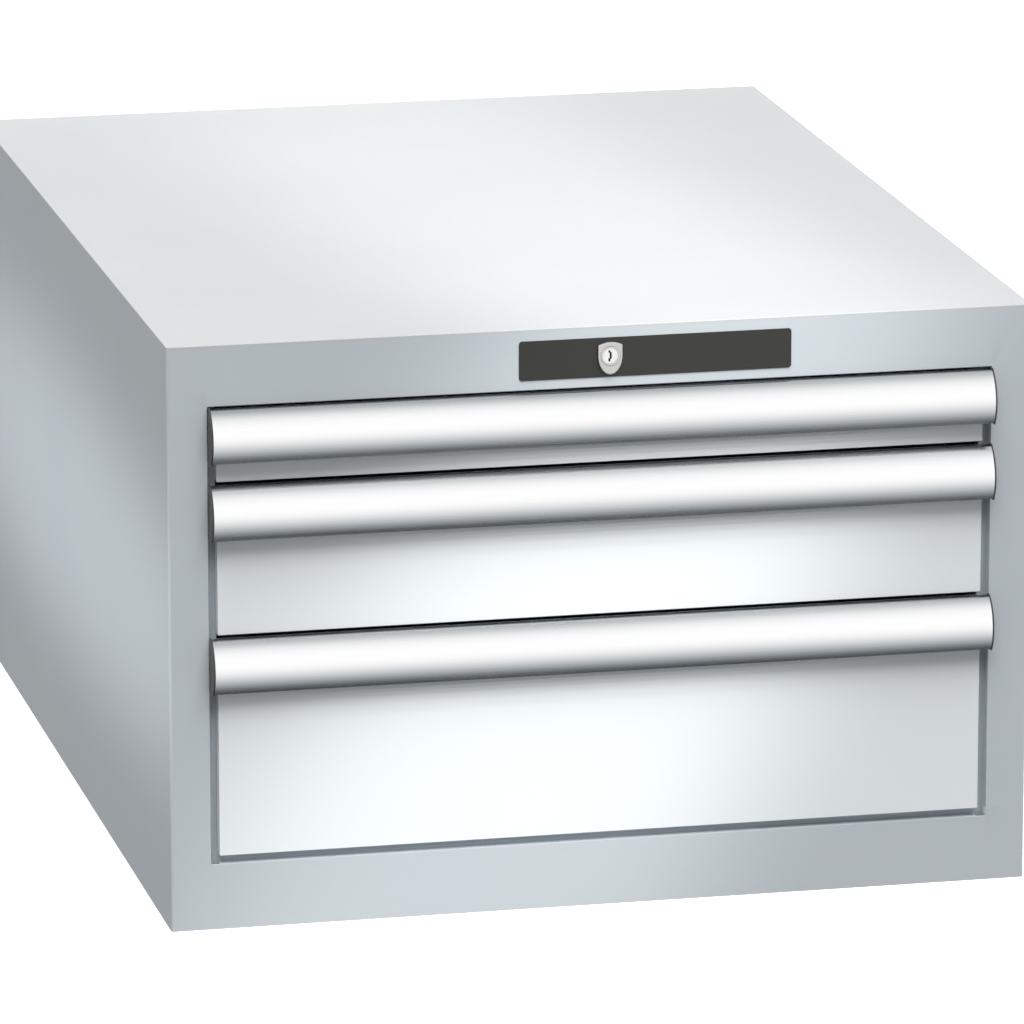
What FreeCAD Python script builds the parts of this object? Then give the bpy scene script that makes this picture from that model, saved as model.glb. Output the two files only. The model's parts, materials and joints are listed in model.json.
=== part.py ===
import FreeCAD, Part
import math
import os

# Modular drawer cabinet in folded sheet steel, with three drawers on full-extension slides and one lock.
# Millimetres. X is across the front, Y runs from the front (-) to the back (+), Z is up.
# The origin is on the floor, at the centre of the housing's footprint.

V = FreeCAD.Vector

# Housing
WIDTH = 564.0
DEPTH = 725.0
SHEET = 1.5
STILE_WIDTH = 26.0
TOP_RAIL_FACE = 40.0
BOTTOM_RAIL_FACE = 43.0
REBATE_DEPTH = 8.0
LIP_WIDTH = 6.0
FOLD_RADIUS = 2.0
REAR_FLANGE = 20.0
WELD_RIM = 15.0
TOP_RAIL_FLANGE = 30.0
TOP_RAIL_UPTURN = 8.0
ANCHOR_HOLE_RADIUS = 5.5
ANCHOR_SPACING_X = 440.0
ANCHOR_SPACING_Y = 600.0

# Drawers, from the top one down
FRONT_HEIGHTS = [50.0, 100.0, 150.0]
FRONT_SHEET = 1.2
FRONT_FOLD = 7.0
FRONT_RADIUS = 1.5
FRONT_SIDE_GAP = 5.5
FRONT_LOW_GAP = 5.5
FRONT_BETWEEN = 1.0
FRONT_TOP_GAP = 1.0
DRAWER_SHEET = 1.0
INSIDE_DEPTH = 612.0
FLOOR_RISE = 9.0
WALL_TOP_DROP = 8.0
WALL_HEM = 5.0
GRID_PITCH = 51.0
GRID_SLOT_WIDTH = 2.5
GRID_SLOT_HEIGHT = 14.0
GRID_SLOT_DROP = 6.0
GRID_END = 12.0

# Handle, an extruded profile as wide as the opening
HANDLE_DROP = 1.0
HANDLE_HEIGHT = 33.7
HANDLE_REACH = 15.0
HANDLE_LOW_REACH = 11.0
HANDLE_TOP_REACH = 5.0
HANDLE_BOW_DROP = 17.5
HANDLE_CORNER = 4.0
HANDLE_WALL = 2.0
HANDLE_LEG = 9.0
HANDLE_LIP = 0.5
CAP_PLUG_DEPTH = 4.0
CAP_FLANGE = 1.2
CAP_RIM = 0.8
CAP_BACK_GAP = 0.5
CAP_FIT = 0.05

# Slides
RAIL_SHEET = 1.5
ROLLER_RADIUS = 9.0
ROLLER_WIDTH = 12.0
ROLL_GAP = 0.3
AXLE_RADIUS = 3.0
AXLE_FIT = 0.05
AXLE_END_GAP = 2.4
SIDE_PLAY = 0.4
WEB_GAP = 0.8
FLANGE_GAP = 0.8
MIDDLE_SHEET = 2.0
MIDDLE_HEIGHT = 14.0
MIDDLE_CORNER = 3.0
SLIDE_RISE = 14.0
DRAWER_RAIL_START = 10.0
DRAWER_RAIL_END_GAP = 6.5
MIDDLE_START = 17.0
MIDDLE_END_GAP = 23.5
FRONT_AXLE_INSET = 15.0
GLIDE_INSET = 18.0
GLIDE_LENGTH = 24.0
GLIDE_CORNER = 2.0

# Slotted posts
POST_DEPTH = 40.0
POST_FOOT = 10.0
POST_PITCH = 50.0
POST_SLOT_HEIGHT = 12.0
POST_SLOT_WIDTH = 5.0
POST_TOP_GAP = 36.0
HOOK_HEIGHT = 10.0
HOOK_WIDTH = 4.0
HOOK_DEPTH = 4.0
BAR_SPACE = 10.0

# Lock
LOCK_X = 4.0
LOCK_FROM_TOP = 19.5
PLATE_LEFT = -55.0
PLATE_WIDTH = 178.0
PLATE_HEIGHT = 25.6
PLATE_FROM_TOP = 7.8
PLATE_SHEET = 0.8
PLATE_RADIUS = 2.0
ROSETTE_WIDTH = 16.0
ROSETTE_HEIGHT = 21.4
ROSETTE_RISE = 9.2
ROSETTE_SHOULDER = 7.2
ROSETTE_THICKNESS = 2.2
LOCK_RING_RADIUS = 6.4
LOCK_BARREL_RADIUS = 7.0
LOCK_BARREL_LENGTH = 16.5
LOCK_FIT = 0.1
PLUG_RADIUS = 5.0
PLUG_FIT = 0.05
PLUG_RECESS = 0.7
NUT_ACROSS_FLATS = 21.0
NUT_THICKNESS = 4.0
KEY_SLOT_WIDTH = 1.3
KEY_SLOT_DEPTH = 9.0
KEY_STEPS = [(-0.65, 2.2, 3.6), (0.2, -1.8, 2.5), (-0.65, -3.6, -1.4)]
NECK_WIDTH = 6.0
CAM_THICKNESS = 2.0
CAM_CLEARANCE = 0.4
DRIVE_RADIUS = 6.0
PIN_RADIUS = 2.0
PIN_PLAY = 0.35
SLIDE_SHEET = 2.0
SLIDE_HEIGHT = 24.0
SLIDE_LEFT = -14.0
BAR_WIDTH = 8.0
BAR_THICKNESS = 6.0
BAR_SIDE_GAP = 2.0
BAR_LIP_GAP = 1.0
HOOK_TOOTH_REACH = 6.5
HOOK_TOOTH_HEIGHT = 3.5
HOOK_TOOTH_RISE = 44.5
HOOK_FOOT_HEIGHT = 14.0
CATCH_SHEET = 2.0
CATCH_RISE = 35.7
CATCH_HEIGHT = 5.0
CATCH_REACH = 18.0
CATCH_FOOT = 22.0
CATCH_GAP = 0.8
GUIDE_SHEET = 1.5
GUIDE_PLAY = 0.3
GUIDE_WIDTH = 14.0
GUIDE_UPTURN = 6.0

# How far a cutter passes through a face
CUT = 1.0

# Places worked out from the sizes above
OPENING_HEIGHT = sum(FRONT_HEIGHTS)
HEIGHT = BOTTOM_RAIL_FACE + OPENING_HEIGHT + TOP_RAIL_FACE
FRONT_Y = -DEPTH / 2
BACK_Y = DEPTH / 2
SIDE_X = WIDTH / 2
OPENING_X = SIDE_X - STILE_WIDTH
LIP_X = OPENING_X - LIP_WIDTH
LIP_Y = FRONT_Y + REBATE_DEPTH
LIP_BACK_Y = LIP_Y + SHEET
OPENING_TOP = HEIGHT - TOP_RAIL_FACE
UNDER_TOP = HEIGHT - SHEET
POST_Y = LIP_BACK_Y + BAR_SPACE
CABINET_RAIL_X = LIP_X + RAIL_SHEET
AXLE_END_X = LIP_X - AXLE_END_GAP
ROLLER_X = AXLE_END_X - SIDE_PLAY - ROLLER_WIDTH
BAR_OUTER_X = ROLLER_X - SIDE_PLAY
BAR_INNER_X = BAR_OUTER_X - MIDDLE_SHEET
WALL_X = BAR_INNER_X - WEB_GAP - RAIL_SHEET
INSIDE_X = WALL_X - DRAWER_SHEET
DRAWER_FLANGE_X = ROLLER_X + ROLLER_WIDTH / 2 - FLANGE_GAP / 2
CABINET_FLANGE_X = DRAWER_FLANGE_X + FLANGE_GAP
RAIL_HALF = ROLLER_RADIUS + ROLL_GAP
DRAWER_Y = FRONT_Y + FRONT_SHEET
INNER_FRONT_Y = FRONT_Y + FRONT_FOLD + DRAWER_SHEET
REAR_WALL_Y = INNER_FRONT_Y + INSIDE_DEPTH
CABINET_RAIL_END = BACK_Y - SHEET - REAR_FLANGE
DRAWER_RAIL_Y = FRONT_Y + DRAWER_RAIL_START
DRAWER_RAIL_END = CABINET_RAIL_END - DRAWER_RAIL_END_GAP
MIDDLE_Y = FRONT_Y + MIDDLE_START
MIDDLE_END = CABINET_RAIL_END - MIDDLE_END_GAP
FRONT_AXLE_Y = MIDDLE_Y + FRONT_AXLE_INSET
CENTRE_AXLE_Y = (POST_Y + DRAWER_RAIL_END) / 2
LOCK_Z = HEIGHT - LOCK_FROM_TOP
PLATE_Y = FRONT_Y - PLATE_SHEET
ROSETTE_Y = PLATE_Y - ROSETTE_THICKNESS
BARREL_BACK_Y = FRONT_Y + LOCK_BARREL_LENGTH
CAM_Y = BARREL_BACK_Y + CAM_CLEARANCE
SLIDE_Y = CAM_Y + CAM_THICKNESS + CAM_CLEARANCE
BAR_X = LIP_X + BAR_SIDE_GAP
BAR_Y = LIP_BACK_Y + BAR_LIP_GAP
LOCK_STROKE = 2 * DRIVE_RADIUS * math.sin(math.pi / 4)


def zone_bottoms():
    """Lowest height of each drawer's share of the opening, from the top drawer down."""
    level = OPENING_TOP
    found = []
    for height in FRONT_HEIGHTS:
        level -= height
        found.append(level)
    return found


def box(x0, x1, y0, y1, z0, z1):
    return Part.makeBox(x1 - x0, y1 - y0, z1 - z0, V(x0, y0, z0))


def rod(radius, start, end):
    along = end.sub(start)
    return Part.makeCylinder(radius, along.Length, start, along)


def mirrored(shape):
    return shape.mirror(V(0, 0, 0), V(1, 0, 0))


def both_sides(shape):
    return Part.makeCompound([shape, mirrored(shape)])


def face_of(points):
    return Part.Face(Part.makePolygon(points + [points[0]]))


def offset_path(points, thickness):
    """Outline of a folded sheet in its own (a, b) plane: the given outer line and its inner copy.

    The sheet lies on the left of the line, and its outer corners stay sharp.
    """
    inner = []
    last = len(points) - 1
    for i, (a, b) in enumerate(points):
        normals = []
        for j in (i - 1, i):
            if j < 0 or j >= last:
                continue
            da = points[j + 1][0] - points[j][0]
            db = points[j + 1][1] - points[j][1]
            size = math.hypot(da, db)
            normals.append((-db / size, da / size))
        na = sum(n[0] for n in normals)
        nb = sum(n[1] for n in normals)
        if len(normals) == 2:
            scale = 2 / (na * na + nb * nb)
            na *= scale
            nb *= scale
        inner.append((a + na * thickness, b + nb * thickness))
    return points + inner[::-1]


def folded_upright(points, thickness, z0, z1):
    """Folded sheet whose section is drawn in X and Y, standing from z0 to z1."""
    section = offset_path(points, thickness)
    return face_of([V(a, b, z0) for a, b in section]).extrude(V(0, 0, z1 - z0))


def folded_across(points, thickness, x0, x1):
    """Folded sheet whose section is drawn in Y and Z, running across from x0 to x1."""
    section = offset_path(points, thickness)
    return face_of([V(x0, a, b) for a, b in section]).extrude(V(x1 - x0, 0, 0))


def folded_along(points, thickness, y0, y1):
    """Folded sheet whose section is drawn in X and Z, running back from y0 to y1."""
    section = offset_path(points, thickness)
    return face_of([V(a, y0, b) for a, b in section]).extrude(V(0, y1 - y0, 0))


def edges_at(shape, test):
    """Edges whose two ends and middle all pass the test."""
    found = []
    for edge in shape.Edges:
        ends = [v.Point for v in edge.Vertexes] + [edge.CenterOfMass]
        if all(test(p) for p in ends):
            found.append(edge)
    return found


def near(a, b):
    return abs(a - b) < 1e-4


# Housing

def side_panel():
    """Right side: wall, front stile with its rebate and lip, and rear flange, in one folded sheet."""
    line = [
        (LIP_X, LIP_Y),
        (OPENING_X, LIP_Y),
        (OPENING_X, FRONT_Y),
        (SIDE_X, FRONT_Y),
        (SIDE_X, BACK_Y),
        (SIDE_X - REAR_FLANGE, BACK_Y),
    ]
    wall = folded_upright(line, SHEET, 0, UNDER_TOP)
    outer = edges_at(wall, lambda p: near(p.x, SIDE_X) and near(p.y, FRONT_Y))
    inner = edges_at(wall, lambda p: near(p.x, SIDE_X - SHEET) and near(p.y, FRONT_Y + SHEET))
    return wall.makeFillet(FOLD_RADIUS, outer).makeFillet(FOLD_RADIUS - SHEET, inner)


def top_panel():
    """Top cover over both sides, with a rim folded down inside each side wall."""
    cover = box(-SIDE_X, SIDE_X, FRONT_Y, BACK_Y, UNDER_TOP, HEIGHT)
    front = edges_at(cover, lambda p: near(abs(p.x), SIDE_X) and near(p.y, FRONT_Y))
    cover = cover.makeFillet(FOLD_RADIUS, front)
    rim_x = SIDE_X - SHEET
    rim = box(rim_x - SHEET, rim_x, POST_Y, CABINET_RAIL_END, UNDER_TOP - WELD_RIM, UNDER_TOP)
    return cover.fuse([rim, mirrored(rim)]).removeSplitter()


def base_panel():
    """Base sheet between the sides, with weld rims and four holes for bolting the cabinet down."""
    edge = SIDE_X - SHEET
    base = box(-edge, edge, LIP_BACK_Y, BACK_Y - SHEET, 0, SHEET)
    tongue = box(-LIP_X, LIP_X, FRONT_Y + SHEET, LIP_BACK_Y, 0, SHEET)
    rear_foot = CABINET_RAIL_END - POST_DEPTH - POST_FOOT
    rim = box(edge - SHEET, edge, POST_Y + POST_DEPTH, rear_foot, 0, WELD_RIM)
    base = base.fuse([tongue, rim, mirrored(rim)]).removeSplitter()
    for x in (-ANCHOR_SPACING_X / 2, ANCHOR_SPACING_X / 2):
        for y in (-ANCHOR_SPACING_Y / 2, ANCHOR_SPACING_Y / 2):
            base = base.cut(rod(ANCHOR_HOLE_RADIUS, V(x, y, -SHEET), V(x, y, 2 * SHEET)))
    return base


def rear_panel():
    """Rear wall inside the side panels' rear flanges, its top and bottom edges folded forward."""
    edge = SIDE_X - SHEET
    back = BACK_Y - SHEET
    line = [
        (back - WELD_RIM, SHEET),
        (back, SHEET),
        (back, UNDER_TOP),
        (back - WELD_RIM, UNDER_TOP),
    ]
    return folded_across(line, SHEET, -edge, edge)


def front_top_rail():
    """Top of the front frame: a channel with the lock's hole through its face."""
    face = folded_across([
        (FRONT_Y, UNDER_TOP),
        (FRONT_Y, OPENING_TOP),
    ], SHEET, -OPENING_X, OPENING_X)
    under = folded_across([
        (FRONT_Y, OPENING_TOP),
        (FRONT_Y + TOP_RAIL_FLANGE, OPENING_TOP),
        (FRONT_Y + TOP_RAIL_FLANGE, OPENING_TOP + TOP_RAIL_UPTURN),
    ], SHEET, -LIP_X, LIP_X)
    over = box(-LIP_X, LIP_X, FRONT_Y, LIP_BACK_Y, UNDER_TOP - SHEET, UNDER_TOP)
    rail = face.fuse([under, over]).removeSplitter()
    hole = LOCK_BARREL_RADIUS + LOCK_FIT
    return rail.cut(rod(hole, V(LOCK_X, FRONT_Y - SHEET, LOCK_Z), V(LOCK_X, LIP_Y, LOCK_Z)))


def front_bottom_rail():
    """Bottom of the front frame, with the rebate and the lip that the lowest drawer closes over."""
    face = folded_across([
        (FRONT_Y, BOTTOM_RAIL_FACE),
        (FRONT_Y, 0),
    ], SHEET, -OPENING_X, OPENING_X)
    ledge = folded_across([
        (FRONT_Y, BOTTOM_RAIL_FACE - SHEET),
        (LIP_BACK_Y, BOTTOM_RAIL_FACE - SHEET),
        (LIP_BACK_Y, BOTTOM_RAIL_FACE + LIP_WIDTH),
    ], SHEET, -LIP_X, LIP_X)
    foot = box(-LIP_X, LIP_X, FRONT_Y + SHEET, FRONT_Y + WELD_RIM, SHEET, 2 * SHEET)
    return face.fuse([ledge, foot]).removeSplitter()


def slotted_post(y0):
    """One upright hat channel on the right side, its slotted web facing the drawers."""
    wall = SIDE_X - SHEET
    y1 = y0 + POST_DEPTH
    top = UNDER_TOP - POST_TOP_GAP
    post = folded_upright([
        (wall, y1),
        (CABINET_RAIL_X, y1),
        (CABINET_RAIL_X, y0),
        (wall - RAIL_SHEET, y0),
        (wall - RAIL_SHEET, y0 - POST_FOOT),
    ], RAIL_SHEET, SHEET, top)
    level = zone_bottoms()[-1] + FLOOR_RISE + SLIDE_RISE
    middle = y0 + POST_DEPTH / 2
    slots = []
    while level < top - POST_SLOT_HEIGHT:
        slots.append(box(
            CABINET_RAIL_X - RAIL_SHEET, CABINET_RAIL_X + 2 * RAIL_SHEET,
            middle - POST_SLOT_WIDTH / 2, middle + POST_SLOT_WIDTH / 2,
            level - POST_SLOT_HEIGHT / 2, level + POST_SLOT_HEIGHT / 2,
        ))
        level += POST_PITCH
    return post.cut(slots)


def slotted_posts():
    front = slotted_post(POST_Y)
    rear = slotted_post(CABINET_RAIL_END - POST_DEPTH)
    return Part.makeCompound([front, mirrored(front), rear, mirrored(rear)])


# Slides

def cabinet_rails(level):
    """Pair of C rails on the posts, open to the drawer, with hooks in the post slots and a rear stop."""
    outer = RAIL_HALF + RAIL_SHEET
    y0 = POST_Y
    y1 = CABINET_RAIL_END
    rail = folded_along([
        (CABINET_FLANGE_X, level + outer),
        (CABINET_RAIL_X, level + outer),
        (CABINET_RAIL_X, level - outer),
        (CABINET_FLANGE_X, level - outer),
    ], -RAIL_SHEET, y0, y1)
    added = [box(CABINET_FLANGE_X, LIP_X, y1 - RAIL_SHEET, y1, level - RAIL_HALF, level + RAIL_HALF)]
    for middle in (POST_Y + POST_DEPTH / 2, CABINET_RAIL_END - POST_DEPTH / 2):
        added.append(box(
            CABINET_RAIL_X, CABINET_RAIL_X + HOOK_DEPTH,
            middle - HOOK_WIDTH / 2, middle + HOOK_WIDTH / 2,
            level - HOOK_HEIGHT / 2, level + HOOK_HEIGHT / 2,
        ))
    return both_sides(rail.fuse(added).removeSplitter())


def drawer_rails(level):
    """Pair of C rails welded to the drawer's walls, open outwards."""
    outer = RAIL_HALF + RAIL_SHEET
    return both_sides(folded_along([
        (DRAWER_FLANGE_X, level + outer),
        (WALL_X, level + outer),
        (WALL_X, level - outer),
        (DRAWER_FLANGE_X, level - outer),
    ], RAIL_SHEET, DRAWER_RAIL_Y, DRAWER_RAIL_END))


def middle_rails(level):
    """Pair of flat bars that carry the rollers and run out half as far as the drawer."""
    half = MIDDLE_HEIGHT / 2
    bar = box(BAR_INNER_X, BAR_OUTER_X, MIDDLE_Y, MIDDLE_END, level - half, level + half)
    corners = [e for e in bar.Edges if near(e.BoundBox.XLength, MIDDLE_SHEET)]
    return both_sides(bar.makeChamfer(MIDDLE_CORNER, corners))


def axle(y, level):
    """Stud welded to the middle rail, for one roller."""
    return rod(AXLE_RADIUS, V(BAR_OUTER_X, y, level), V(AXLE_END_X, y, level))


def axles(level):
    pins = [axle(y, level) for y in (FRONT_AXLE_Y, CENTRE_AXLE_Y)]
    return Part.makeCompound(pins + [mirrored(pin) for pin in pins])


def rollers(y, level):
    """Pair of nylon rollers, each as wide as both rails, so that it rolls between them."""
    end = ROLLER_X + ROLLER_WIDTH
    wheel = rod(ROLLER_RADIUS, V(ROLLER_X, y, level), V(end, y, level))
    bore = rod(AXLE_RADIUS + AXLE_FIT, V(BAR_OUTER_X, y, level), V(AXLE_END_X, y, level))
    return both_sides(wheel.cut(bore))


def rear_glides(level):
    """Pair of nylon blocks on the middle rails' rear ends, which keep them down in the cabinet rails."""
    middle = MIDDLE_END - GLIDE_INSET
    block = box(
        BAR_OUTER_X, ROLLER_X + ROLLER_WIDTH, middle - GLIDE_LENGTH / 2, middle + GLIDE_LENGTH / 2,
        level - ROLLER_RADIUS, level + ROLLER_RADIUS,
    )
    ends = [e for e in block.Edges if near(e.BoundBox.YLength + e.BoundBox.ZLength, 0)]
    return both_sides(block.makeChamfer(GLIDE_CORNER, ends))


# Drawers

def front_panel(z0, z1):
    """Drawer front: a shallow tray with its four edges folded back."""
    half = OPENING_X - FRONT_SIDE_GAP
    pan = box(-half, half, FRONT_Y, FRONT_Y + FRONT_FOLD, z0, z1)
    pan = pan.makeFillet(FRONT_RADIUS, edges_at(pan, lambda p: near(p.y, FRONT_Y)))
    half -= FRONT_SHEET
    return pan.cut(box(
        -half, half, FRONT_Y + FRONT_SHEET, FRONT_Y + FRONT_FOLD + CUT, z0 + FRONT_SHEET, z1 - FRONT_SHEET,
    ))


def grid_slots(length):
    """Centres of the divider slots along a wall of this length."""
    count = int((length - 2 * GRID_END) / GRID_PITCH) + 1
    start = (length - (count - 1) * GRID_PITCH) / 2
    return [start + i * GRID_PITCH for i in range(count)]


def side_walls(z0, z1):
    """Pair of drawer walls, slotted for dividers, with the top edge folded outwards."""
    wall = folded_along([
        (WALL_X + WALL_HEM, z1),
        (INSIDE_X, z1),
        (INSIDE_X, z0),
    ], DRAWER_SHEET, DRAWER_Y, REAR_WALL_Y)
    top = z1 - GRID_SLOT_DROP
    slots = [box(
        INSIDE_X - CUT, WALL_X + CUT,
        INNER_FRONT_Y + y - GRID_SLOT_WIDTH / 2, INNER_FRONT_Y + y + GRID_SLOT_WIDTH / 2,
        top - GRID_SLOT_HEIGHT, top,
    ) for y in grid_slots(INSIDE_DEPTH)]
    return both_sides(wall.cut(slots))


def end_walls(z0, z1):
    """Front lining and back of the drawer, the back slotted for dividers, its top edge folded over."""
    lining = box(-INSIDE_X, INSIDE_X, INNER_FRONT_Y - DRAWER_SHEET, INNER_FRONT_Y, z0 + DRAWER_SHEET, z1)
    wall = folded_across([
        (REAR_WALL_Y, z0),
        (REAR_WALL_Y, z1),
        (REAR_WALL_Y + WALL_HEM, z1),
    ], -DRAWER_SHEET, -WALL_X, WALL_X)
    top = z1 - GRID_SLOT_DROP
    slots = [box(
        x - INSIDE_X - GRID_SLOT_WIDTH / 2, x - INSIDE_X + GRID_SLOT_WIDTH / 2,
        REAR_WALL_Y - CUT, REAR_WALL_Y + DRAWER_SHEET + CUT, top - GRID_SLOT_HEIGHT, top,
    ) for x in grid_slots(2 * INSIDE_X)]
    return Part.makeCompound([lining, wall.cut(slots)])


def drawer_floor(z0):
    return box(-INSIDE_X, INSIDE_X, DRAWER_Y, REAR_WALL_Y, z0, z0 + DRAWER_SHEET)


def reach(a, b, top):
    """Point of the handle's section: a forward of the front, b up from the handle's top."""
    return V(0, FRONT_Y - a, top + b)


def handle_circle():
    """Centre and radius of the handle's curved front, in the section's own plane."""
    ax, ay = HANDLE_TOP_REACH, 0.0
    bx, by = HANDLE_REACH, -HANDLE_BOW_DROP
    cx, cy = HANDLE_LOW_REACH, -HANDLE_HEIGHT
    circle = Part.Arc(V(ax, ay, 0), V(bx, by, 0), V(cx, cy, 0)).toShape().Curve
    return circle.Center.x, circle.Center.y, circle.Radius


def on_circle(radius, b):
    """How far forward a circle about the handle's centre stands at height b."""
    ca, cb, _ = handle_circle()
    return ca + math.sqrt(radius * radius - (b - cb) * (b - cb))


def curve(radius, b0, b1, top):
    """Arc of the handle's section between two heights."""
    middle = (b0 + b1) / 2
    return Part.Arc(
        reach(on_circle(radius, b0), b0, top),
        reach(on_circle(radius, middle), middle, top),
        reach(on_circle(radius, b1), b1, top),
    ).toShape()


def lines(points, top):
    return [Part.makeLine(reach(a, b, top), reach(c, d, top)) for (a, b), (c, d) in zip(points, points[1:])]


def run_across(edges, x0, x1):
    face = Part.Face(Part.Wire(Part.__sortEdges__(edges)))
    face.translate(V(x0, 0, 0))
    return face.extrude(V(x1 - x0, 0, 0))


def handle_end_x():
    """Where the handle's profile ends and the flange of its cap begins."""
    return OPENING_X - CAP_FLANGE


def handle(top):
    """Extruded grip: leg on the drawer front, rounded top, bowed front and a lip turned in at its foot."""
    radius = handle_circle()[2]
    wall = HANDLE_WALL
    low = -HANDLE_HEIGHT
    edges = [curve(radius, 0.0, low, top), curve(radius - wall, -wall, low + wall, top)]
    edges += lines([
        (HANDLE_LOW_REACH, low),
        (HANDLE_LOW_REACH - wall - HANDLE_LIP, low),
        (HANDLE_LOW_REACH - wall - HANDLE_LIP, low + wall),
        (on_circle(radius - wall, low + wall), low + wall),
    ], top)
    edges += lines([
        (on_circle(radius - wall, -wall), -wall),
        (wall, -wall),
        (wall, -HANDLE_LEG),
        (0, -HANDLE_LEG),
        (0, 0),
        (HANDLE_TOP_REACH, 0),
    ], top)
    grip = run_across(edges, -handle_end_x(), handle_end_x())
    corner_y = FRONT_Y - HANDLE_TOP_REACH
    corner = edges_at(grip, lambda p: near(p.y, corner_y) and near(p.z, top))
    return grip.makeFillet(HANDLE_CORNER, corner)


def cap_plug(top):
    """The cap's inner part, which fills the profile's hollow down to its foot."""
    wall = HANDLE_WALL + CAP_FIT
    radius = handle_circle()[2] - wall
    low = wall - HANDLE_HEIGHT
    corner = -wall - HANDLE_CORNER / 2
    edges = [curve(radius, corner, low, top)]
    edges += lines([
        (on_circle(radius, low), low),
        (wall, low),
        (wall, corner),
        (on_circle(radius, corner), corner),
    ], top)
    return run_across(edges, handle_end_x() - CAP_PLUG_DEPTH, handle_end_x())


def cap_flange(top):
    """The cap's outer part: the profile's whole outline back to the drawer front, with a small rim."""
    radius = handle_circle()[2]
    low = -HANDLE_HEIGHT
    edges = [curve(radius, 0.0, low, top)]
    edges += lines([
        (HANDLE_LOW_REACH, low),
        (HANDLE_LOW_REACH, low - CAP_RIM),
        (CAP_BACK_GAP, low - CAP_RIM),
        (CAP_BACK_GAP, CAP_RIM),
        (HANDLE_TOP_REACH, CAP_RIM),
        (HANDLE_TOP_REACH, 0),
    ], top)
    return run_across(edges, handle_end_x(), OPENING_X)


def handle_caps(top):
    """Pair of plastic caps pushed into the ends of the handle."""
    return both_sides(cap_plug(top).fuse(cap_flange(top)).removeSplitter())


def catch(zone):
    """Angle on the drawer's right wall that the lock's hook stops."""
    y0 = BAR_Y + BAR_THICKNESS + CATCH_GAP
    z0 = zone + CATCH_RISE
    foot = box(WALL_X, WALL_X + CATCH_SHEET, y0, y0 + CATCH_FOOT, z0, z0 + CATCH_HEIGHT)
    tab = box(WALL_X, WALL_X + CATCH_REACH, y0, y0 + CATCH_SHEET, z0, z0 + CATCH_HEIGHT)
    return foot.fuse(tab).removeSplitter()


# Lock


def lock_plate():
    """Dark plate with rounded corners, through which the lock's barrel passes."""
    z1 = HEIGHT - PLATE_FROM_TOP
    plate = box(PLATE_LEFT, PLATE_LEFT + PLATE_WIDTH, PLATE_Y, FRONT_Y, z1 - PLATE_HEIGHT, z1)
    corners = [e for e in plate.Edges if near(e.BoundBox.YLength, PLATE_SHEET)]
    plate = plate.makeFillet(PLATE_RADIUS, corners)
    hole = LOCK_BARREL_RADIUS + LOCK_FIT
    return plate.cut(rod(hole, V(LOCK_X, PLATE_Y - CUT, LOCK_Z), V(LOCK_X, FRONT_Y + CUT, LOCK_Z)))


def lock_rosette():
    """Shield-shaped surround: a shallow arch on top, straight cheeks and an elliptic foot."""
    half = ROSETTE_WIDTH / 2
    drop = ROSETTE_HEIGHT - ROSETTE_RISE
    centre = V(LOCK_X, PLATE_Y, LOCK_Z)
    foot = Part.Ellipse(centre + V(0, 0, -drop), centre + V(half, 0, 0), centre)
    points = [
        centre + V(half, 0, 0), centre + V(half, 0, ROSETTE_SHOULDER),
        centre + V(0, 0, ROSETTE_RISE),
        centre + V(-half, 0, ROSETTE_SHOULDER), centre + V(-half, 0, 0),
    ]
    first = foot.parameter(points[0])
    last = foot.parameter(points[4])
    lower = Part.ArcOfEllipse(foot, min(first, last), max(first, last)).toShape()
    if lower.BoundBox.ZMax > LOCK_Z + CUT:
        lower = Part.ArcOfEllipse(foot, max(first, last), min(first, last) + 2 * math.pi).toShape()
    edges = [
        Part.makeLine(points[0], points[1]),
        Part.Arc(points[1], points[2], points[3]).toShape(),
        Part.makeLine(points[3], points[4]),
        lower,
    ]
    shield = Part.Face(Part.Wire(Part.__sortEdges__(edges))).extrude(V(0, -ROSETTE_THICKNESS, 0))
    hole = LOCK_RING_RADIUS + LOCK_FIT
    return shield.cut(rod(hole, V(LOCK_X, ROSETTE_Y - CUT, LOCK_Z), V(LOCK_X, FRONT_Y, LOCK_Z)))


def lock_cylinder():
    """Turned barrel with a raised front ring and the bore that the plug turns in."""
    ring_y = ROSETTE_Y - CAM_CLEARANCE
    barrel = rod(LOCK_BARREL_RADIUS, V(LOCK_X, PLATE_Y, LOCK_Z), V(LOCK_X, BARREL_BACK_Y, LOCK_Z))
    ring = rod(LOCK_RING_RADIUS, V(LOCK_X, ring_y, LOCK_Z), V(LOCK_X, PLATE_Y, LOCK_Z))
    bore_end = BARREL_BACK_Y + CUT
    bore = rod(PLUG_RADIUS + PLUG_FIT, V(LOCK_X, ring_y - CUT, LOCK_Z), V(LOCK_X, bore_end, LOCK_Z))
    return barrel.fuse(ring).removeSplitter().cut(bore)


def lock_nut():
    """Hexagon nut that clamps the barrel to the back of the frame rail."""
    radius = NUT_ACROSS_FLATS / math.sqrt(3)
    y = FRONT_Y + SHEET
    corners = [
        V(LOCK_X + radius * math.cos(i * math.pi / 3), y, LOCK_Z + radius * math.sin(i * math.pi / 3))
        for i in range(6)
    ]
    nut = face_of(corners).extrude(V(0, NUT_THICKNESS, 0))
    bore = LOCK_BARREL_RADIUS + PLUG_FIT
    return nut.cut(rod(bore, V(LOCK_X, y - CUT, LOCK_Z), V(LOCK_X, y + NUT_THICKNESS + CUT, LOCK_Z)))


def around_lock(half, y0, y1):
    """Square bar on the lock's axis, from y0 back to y1."""
    return box(LOCK_X - half, LOCK_X + half, y0, y1, LOCK_Z - half, LOCK_Z + half)


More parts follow.
